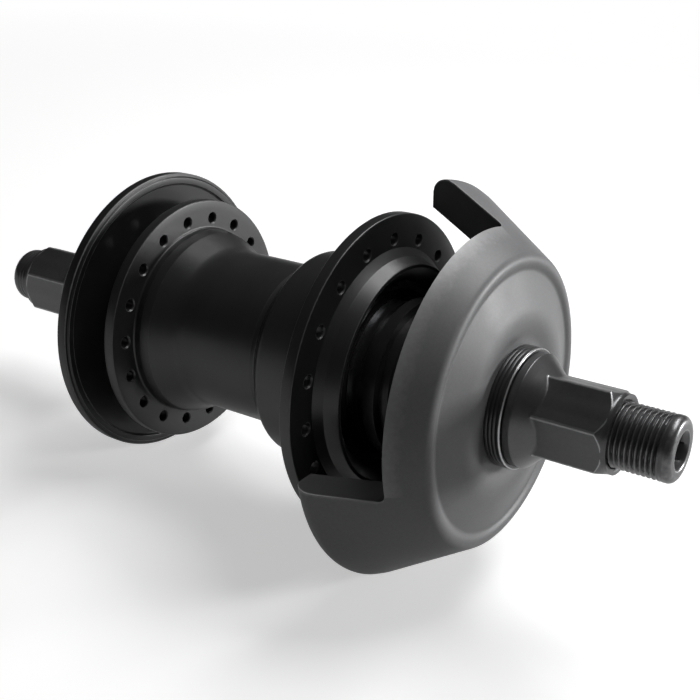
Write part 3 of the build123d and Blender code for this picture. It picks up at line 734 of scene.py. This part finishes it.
@dataclass(frozen=True)
class HexNut:
    """Hex nut with an optional domed flange, its hexagon's end turned to a cone.

    base is the y of its seat, and outward 1 or -1, the direction of y away from it.
    """

    node: str
    base: float
    outward: int
    corner_angle: float
    length: float
    end_bevel: float
    flats: float = 17.0
    bore_r: float = 7.05
    bore_mouth: float = 0.45
    bevel_angle: float = 51.0
    flange_r: float = 0.0
    flange_t: float = 1.8
    flange_cone: float = 1.4
    dome_length: float = 6.0
    dome_round: float = 3.0
    dome_blend: float = 0.3
    corner_round: float = 0.28
    rim_round: float = 0.3
    edge_width: float = 0.16
    corner_reach: float = 0.1
    rim_reach: float = 0.3
    columns: int = 360
    finest: float = 0.06
    fine: float = 0.11
    coarse: float = 1.5
    spare: float = 0.5
    dome_spare: float = 0.4

    def hexagon(self, angles: Array) -> tuple[Array, Array]:
        """Radius of the hexagon at the columns' angles, and how near each is to a corner.

        A flat's radius is half the flats / cos(angle from its middle), and the nearest two are blended.
        """
        past = np.radians((np.degrees(angles) - self.corner_angle) % 60)
        one = self.flats / 2 / np.cos(past - radians(30))
        other = self.flats / 2 / np.cos(np.minimum(past, radians(60) - past) + radians(30))
        return blend_min(one, other, self.corner_round), nearness(one, other, 2 * self.corner_round)

    def dome(self, rise: Array) -> Array:
        """Radius of the flange, its cone and the arc that runs out on the hexagon."""
        half = self.flats / 2
        shape = rounded([
            (0, 0), (self.flange_r, 0, self.rim_round), (self.flange_r, self.flange_t, self.rim_round),
            (self.flange_r - self.flange_cone, self.flange_t + self.flange_cone, self.dome_round),
            (half, self.dome_length), (0, self.dome_length)], step=6)
        side = shape[1:-1]
        return np.interp(rise, side[:, 1], side[:, 0])

    def build(self) -> None:
        """Build the nut in place of its CAD node. At its end a cone cuts the hexagon's corners."""
        angles = full_turn(self.columns, self.corner_angle)
        corner_r = self.flats / sqrt(3)
        slope = tan(radians(self.bevel_angle))
        bevel_start = self.length - self.end_bevel * slope
        domed = self.flange_r > 0
        top = self.dome_length + self.dome_spare if domed else self.spare
        rise = steps((0, 0), (self.rim_round, self.finest), (top, self.fine),
                     (bevel_start - self.spare, self.coarse), (self.length, self.fine))[None, :]
        hexagon, corner = self.hexagon(angles[:, None])
        envelope = corner_r - np.clip(rise - bevel_start, 0, None) / slope
        radius = blend_min(hexagon, envelope, self.corner_round)
        # Rounded corners of the hexagon and the rim of the end cone get edge wear and a painted highlight.
        edge = corner * (envelope > hexagon - self.corner_reach)
        rim = nearness(hexagon, envelope, self.edge_width) * (rise > bevel_start - self.rim_reach)
        edge = np.maximum(edge, rim)
        if domed:
            dome = self.dome(rise)
            edge = edge * (radius > dome)
            radius = -blend_min(-radius, -dome, self.dome_blend)
        else:
            radius = radius - np.clip(self.rim_round - rise, 0, None)
        mouth = self.bore_r + self.bore_mouth
        inner = [(radius[:, -1], self.length), (mouth, self.length), (self.bore_r, self.length - self.bore_mouth),
                 (self.bore_r, self.bore_mouth), (mouth, 0.0), (radius[:, 0], 0.0)]
        surface = Surface(f"{self.node}_turned")
        surface.grid(field_of(radius, self.base + self.outward * rise, angles[:, None]), edge)
        surface.grid(*rings([(r, self.base + self.outward * height, 0.0) for r, height in inner], angles))
        place(surface.build(SHARP_ANGLE), Body.AXLE, BLACK_STEEL, self.node)


@dataclass(frozen=True)
class LockRing:
    """Turned ring on the drive side that holds the guard, with fine lines round its side.

    low, high, web and lines are D.
    """

    outer_r: float = 13.3
    hub_r: float = 10.55
    hole_r: float = 7.3
    low: float = 51.3
    high: float = 55.0
    web: float = 53.6
    lines: tuple[float, ...] = (52.1, 53.0, 53.9)
    line_depth: float = 0.12
    line_width: float = 0.3
    back_round: float = 0.15
    front_round: float = 0.4
    hole_round: float = 0.3
    columns: int = 144

    def build(self) -> None:
        """Build the ring in place of its CAD node."""
        points = [(self.hub_r, self.low), (self.outer_r, self.low, self.back_round)]
        for line in self.lines:
            points += [(self.outer_r, line - self.line_width), (self.outer_r - self.line_depth, line),
                       (self.outer_r, line + self.line_width)]
        points += [(self.outer_r, self.high, self.front_round), (self.hole_r, self.high, self.hole_round),
                   (self.hole_r, self.web), (self.hub_r, self.web)]
        outline = rounded([(r, -d, *rest) for r, d, *rest in points])
        place_turned("guard_lock_ring", outline, self.columns, TURNED_BLACK)


@dataclass(frozen=True)
class DiscGuard:
    """Round disc guard on the other side with a raised rim that has a step and rounded edges."""

    outer_r: float = 35.4
    rim_r: float = 33.0
    step_r: float = 34.3
    step_drop: float = 0.35
    hub_r: float = 14.0
    hole_r: float = 7.3
    low: float = 47.5
    high: float = 50.5
    recess: float = 0.5
    edge_round: float = 0.35
    soft_round: float = 0.22
    columns: int = 216

    def build(self) -> None:
        """Build the disc in place of its CAD node."""
        hub_foot, rim_foot = self.hub_r + self.recess, self.rim_r - self.recess
        low_web, high_web, low_step = self.low + self.recess, self.high - self.recess, self.low + self.step_drop
        outline = rounded([
            (self.hole_r, self.low), (self.hub_r, self.low), (hub_foot, low_web), (rim_foot, low_web),
            (self.rim_r, self.low), (self.step_r, self.low), (self.step_r + self.step_drop, low_step),
            (self.outer_r, low_step, self.edge_round), (self.outer_r, self.high, self.edge_round),
            (self.rim_r, self.high), (rim_foot, high_web), (hub_foot, high_web), (self.hub_r, self.high),
            (self.hole_r, self.high)], self.soft_round)
        place_turned("non_drive_guard", outline, self.columns, DISC_BLACK)


@dataclass(frozen=True)
class DriveGuard:
    """Thick moulded cone with a dished face and the chain's window.

    back, mouth, shoulder and web are D, face is (radius, D, arc radius) and skirt_rows (D, spacing).
    The cone's outer radius is shoulder_r + slope * (shoulder - D), and its inner one is less by wall.
    """

    hole_r: float = 10.55
    face: Outline = (
        (10.55, 51.3), (15.0, 51.3, 6.0), (19.0, 52.6, 10.0), (28.9, 49.2, 1.2), (31.6, 50.6, 2.3))
    back: float = 47.8
    back_round: float = 3.0
    mouth: float = 25.4
    lip_round: float = 3.0
    shoulder_r: float = 33.6
    shoulder: float = 47.4
    shoulder_round: float = 2.0
    slope: float = 0.6152
    wall: float = 8.8
    web: float = 42.1
    side_x: float = 9.4
    side_lean: float = 0.0966
    floor_z: float = -10.3
    floor_lean: float = 0.145
    window_round: float = 1.6
    skirt_columns: int = 156
    window_columns: int = 60
    skirt_rows: Outline = ((29.0, 1.5), (25.4, 0.2))
    fine: float = 0.2
    across: tuple[float, ...] = (0.0, 0.06, 0.5, 0.94, 1.0)
    # The last rows of the section, inside the cone, get painted shade.
    painted_shade_rows: int = 4
    rim_bevel: float = 0.3
    # Edge value of the window's outer rims, which paints wear and a highlight there.
    rim_wear_and_highlight: float = 0.9
    sharp_angle: float = 35.0

    def cone(self, place_d: Array | float) -> Array | float:
        """Outer radius of the cone at D."""
        return self.shoulder_r + (self.shoulder - place_d) * self.slope

    def outline(self) -> Array:
        """The section from the bore over the face, the cone and the lip, and back on the inside."""
        points = [(self.hole_r, self.back), *self.face, (self.shoulder_r, self.shoulder, self.shoulder_round),
                  (self.cone(self.mouth), self.mouth, self.lip_round),
                  (self.cone(self.mouth) - self.wall, self.mouth),
                  (self.cone(self.back) - self.wall, self.back, self.back_round)]
        return rounded(points, step=8)[:, :2]

    def limits(self, radius: Array, place_d: Array) -> tuple[Array, Array]:
        """Angles of the window's side wall and of its floor, at points' radius and D.

        The side wall is x = side_x - side_lean * g and the floor z = floor_z + floor_lean * g at g
        below the web. Within the corner's round q both move in by q - sqrt(q^2 - (q - g)^2).
        """
        gone = self.web - place_d
        inside = np.clip(self.window_round - gone, 0, self.window_round)
        bite = self.window_round - np.sqrt(self.window_round ** 2 - inside ** 2)
        side = self.side_x - self.side_lean * gone - bite
        floor = self.floor_z + self.floor_lean * gone + bite
        return np.arccos(side / radius), pi - np.arcsin(floor / radius)

    def build(self) -> None:
        """Build the guard in place of its CAD node."""
        whole = self.outline()
        lip_end = int(np.argmin(whole[:, 1]))
        outer = whole[:lip_end + 1][whole[:lip_end + 1, 1] <= self.shoulder][::-1]
        places = steps((self.web, 0), (self.web - self.window_round, self.fine), *self.skirt_rows)
        outer_r, inner_r = np.interp(places, outer[:, 1], outer[:, 0]), self.cone(places) - self.wall
        rows = np.stack([np.concatenate([outer_r, inner_r[::-1]]), np.concatenate([places, places[::-1]])])
        rows = np.concatenate([rows, self.limits(*rows)])
        surface = Surface("drive_side_guard_moulded")
        self._skirt(surface, rows)
        self._face(surface, rows[:, [0, -1]], whole)
        place(surface.build(self.sharp_angle, self.rim_bevel), Body.AXLE, GUARD_NYLON, "drive_side_guard")

    def _skirt(self, surface: Surface, rows: Array) -> None:
        """Add the cone beside the window, from the web round the lip to the web, and its two cut faces.

        rows are the radius, D and the window's two angles of each row, the outer rows first.
        """
        radius, place_d, side, floor = rows
        half = len(radius) // 2
        # The inner rows get painted shade, and the window's outer rims wear and a painted highlight.
        inner = np.repeat([0.0, 1.0], half)[None, :]
        share = np.linspace(0, 1, self.skirt_columns + 1)[:, None]
        edge = np.where((share == 0) | (share == 1), self.rim_wear_and_highlight * (1 - inner), 0)
        surface.grid(field_of(radius, -place_d, floor + (side + 2 * pi - floor) * share), edge, inner)
        for angle in (side, floor):
            rim = field_of(radius, -place_d, angle)
            self._cut(surface, rim[:half], rim[half:][::-1])

    def _cut(self, surface: Surface, near: Array, far: Array) -> None:
        """Add a cut face between its outer and its inner rim, with wear and a painted highlight on the outer rim
        and painted shade on the rest.
        """
        across = np.array(self.across)[:, None]
        inner = (across > 0).astype(float)
        surface.grid(near[None] + (far - near)[None] * across[..., None], self.rim_wear_and_highlight * (1 - inner), inner)

    def _face(self, surface: Surface, web_rows: Array, whole: Array) -> None:
        """Add what lies beyond the web, all the way round, and the web's cut face.

        web_rows are the radius, D and the window's two angles at the web, outside and inside, and
        whole is the whole section. The angles slide from the first to the second along it.
        """
        tip = int(np.argmax(whole[:, 0]))
        above = whole[:, 1] > self.web
        over, under = whole[:tip][above[:tip]][::-1], whole[tip:][above[tip:]][::-1]
        section = np.concatenate([web_rows[:2, :1].T, over, under, web_rows[:2, 1:].T])
        turn = np.linspace(0, 1, len(section))
        side, floor = (first + (last - first) * turn for first, last in web_rows[2:])
        window = np.linspace(0, 1, self.window_columns + 1)[:, None]
        skirt = np.linspace(0, 1, self.skirt_columns + 1)[1:, None]
        angles = np.concatenate([side + (floor - side) * window, floor + (side + 2 * pi - floor) * skirt])
        points = field_of(section[:, 0], -section[:, 1], angles)
        # The window's rim at the web gets wear and a painted highlight, and the rows inside the cone painted shade.
        edge = np.zeros(points.shape[:2])
        edge[:self.window_columns + 1, 0] = self.rim_wear_and_highlight
        inner = np.clip((np.arange(len(section)) - len(section) + self.painted_shade_rows) / 2, 0, 1)[None, :]
        surface.grid(points, edge, inner)
        self._cut(surface, points[:self.window_columns + 1, 0], points[:self.window_columns + 1, -1])


@dataclass(frozen=True)
class SpokeRing:
    """One flange's band of countersunk spoke holes between two radii."""

    inner_r: float
    outer_r: float
    ring_r: float
    first_angle: float
    low: float
    high: float
    hole_r: float = 1.3
    countersink: float = 0.28
    rim_wear_and_highlight: float = 0.8
    wall_edge: float = 0.2
    count: int = 18
    across: int = 8
    up: int = 6

    def add(self, surface: Surface) -> None:
        """Add the band to a surface, as a grid per sector, from one face through the hole to the other.

        A border point lies on the sector's edge. The hole's point for it lies in the same direction
        from the hole's centre, at the hole's radius.
        """
        half = pi / self.count
        side = np.linspace(-half, half, self.across + 1)
        rise = np.linspace(self.inner_r, self.outer_r, self.up + 1)
        angle = np.concatenate([side[:-1], np.full(self.up, half), side[:0:-1], np.full(self.up + 1, -half)])
        radius = np.concatenate([np.full(self.across, self.inner_r), rise[:-1],
                                 np.full(self.across, self.outer_r), rise[::-1]])
        border = np.stack([radius * np.cos(angle), radius * np.sin(angle)], axis=1)
        centre = np.array([self.ring_r, 0.0])
        arm = border - centre
        arm /= np.linalg.norm(arm, axis=1)[:, None]
        wide = self.hole_r + self.countersink
        beside, rim, wall = (centre + arm * size for size in (wide + SOFT_EDGE, wide, self.hole_r))
        # The countersinks' rims and the holes' walls get edge wear and a painted highlight.
        rows = [(border, self.low, 0.0), (beside, self.low, 0.0), (rim, self.low, self.rim_wear_and_highlight),
                (wall, self.low + self.countersink, self.wall_edge),
                (wall, self.high - self.countersink, self.wall_edge), (rim, self.high, self.rim_wear_and_highlight),
                (beside, self.high, 0.0), (border, self.high, 0.0)]
        flat = np.stack([row[0] for row in rows])
        along = np.array([row[1] for row in rows])[:, None]
        edge = np.array([row[2] for row in rows])[:, None]
        for index in range(self.count):
            turn = radians(self.first_angle) + 2 * half * index
            x = flat[..., 0] * cos(turn) - flat[..., 1] * sin(turn)
            z = flat[..., 0] * sin(turn) + flat[..., 1] * cos(turn)
            surface.grid(np.stack([x, np.broadcast_to(along, x.shape), z], axis=-1), edge)


@dataclass(frozen=True)
class HubShell:
    """Black shell: collar, drive flange, clutch drum, waist, tube, shoulder and the other flange.

    feet are the radii where the flanges' four faces start. middle is the drum and the tube, and
    inside runs from the far end's face through both seats, the cavity and the clutch's pocket.
    """

    columns: int = 144
    edge_round: float = 0.3
    drive_band: SpokeRing = SpokeRing(28.7, 33.0, 30.5, 5.0, -18.9, -16.1)
    other_band: SpokeRing = SpokeRing(24.0, 28.0, 25.8, 15.0, 37.6, 40.4)
    drive_flange_r: float = 36.0
    other_flange_r: float = 30.2
    collar: Outline = ((21.0, -20.4), (24.6, -23.6), (25.4, -23.6), (26.6, -20.5))
    feet: tuple[float, ...] = (28.4, 27.4, 23.2, 18.0)
    foot_round: float = 0.5
    middle: Outline = (
        (25.2, -12.7), (24.3, 0.0, 2.5), (19.15, 4.2, 0.8), (19.5, 5.4, 0.8), (19.5, 27.5, 6.0),
        (22.7, 33.4, 1.0), (23.2, 35.6))
    inside: Outline = (
        (17.0, 42.4), (15.0, 42.4), (15.0, 33.4, 0.0), (13.6, 33.4, 0.0), (13.6, 31.3, 0.0),
        (15.9, 29.0, 0.0), (15.9, 3.3, 0.0), (19.0, 3.3, 0.0), (19.6, 2.95, 0.0), (19.6, -13.1, 0.0),
        (21.0, -13.1, 0.0))

    def flange(self, band: SpokeRing, outer_r: float) -> Outline:
        """A flange's section from its low face to its high face, with the ends of the band of holes."""
        return [(band.inner_r, band.low, 0.0), (band.outer_r, band.low, 0.0), (outer_r, band.low),
                (outer_r, band.high), (band.outer_r, band.high, 0.0), (band.inner_r, band.high, 0.0)]

    def outline(self) -> Array:
        """The shell's whole section, from the drive-side bearing's seat over the outside and back inside."""
        near, far = self.drive_band, self.other_band
        return rounded([
            *self.collar, (self.feet[0], near.low, 0.0), *self.flange(near, self.drive_flange_r),
            (self.feet[1], near.high, self.foot_round), *self.middle,
            (self.feet[2], far.low, self.foot_round), *self.flange(far, self.other_flange_r),
            (self.feet[3], far.high), *self.inside], self.edge_round)

    def build(self) -> None:
        """Build the shell in place of its CAD node."""
        near, far = self.drive_band, self.other_band
        whole = self.outline()
        angles = full_turn(self.columns, near.first_angle - 180 / near.count)
        surface = Surface("hub_shell_bored")
        for band, other in ((near, far), (far, near)):
            rim = (band.outer_r, band.low), (band.outer_r, band.high)
            foot = (band.inner_r, band.high), (other.inner_r, other.low)
            for first, last in (rim, foot):
                surface.turn(between(whole, first, last), angles)
        near.add(surface)
        far.add(surface)
        place(surface.build(), Body.SHELL, SHELL_BLACK, "hub_shell")


@dataclass(frozen=True)
class KeptPieces:
    """CAD nodes that stay as they are, by finish."""

    finishes: tuple[tuple[Finish, tuple[str, ...]], ...] = (
        (TURNED_BLACK, ("drive_side_cone", "non_drive_cone", "driver")),
        (GROUND_STEEL, (*BEARING_RACES, "clutch_ring", "driver_circlip", "clutch_cone", "drag_spring")),
        (SEAL_RUBBER, ("drive_side_bearing_seal", "non_drive_bearing_seal")),
        (SPACER_ALLOY, ("axle_sleeve", "bearing_spacer")),
        (DRAG_RESIN, ("drag_ring",)),
    )

    def dress(self, nodes: dict[str, Object]) -> None:
        """Give each kept node its finish."""
        for finish, names in self.finishes:
            for name in names:
                for slot in nodes[name].material_slots:
                    slot.material = finish.material()
                log.info("kept node %s: %s", name, finish.title)


def main() -> None:
    """Build the studio and the hub."""
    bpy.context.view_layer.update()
    Studio().build()
    Axle().build()
    HexNut("drive_side_axle_nut", base=-55.0, outward=-1, corner_angle=41.0,
           length=21.0, end_bevel=2.1, flange_r=12.5).build()
    HexNut("non_drive_axle_nut", base=72.3, outward=1, corner_angle=35.0,
           length=21.0, end_bevel=2.1, flange_r=12.5).build()
    HexNut("non_drive_lock_nut", base=50.5, outward=1, corner_angle=0.0,
           length=4.5, end_bevel=1.2).build()
    LockRing().build()
    DiscGuard().build()
    DriveGuard().build()
    HubShell().build()
    KeptPieces().dress(frame["nodes"])


if __name__ == "__main__":
    main()
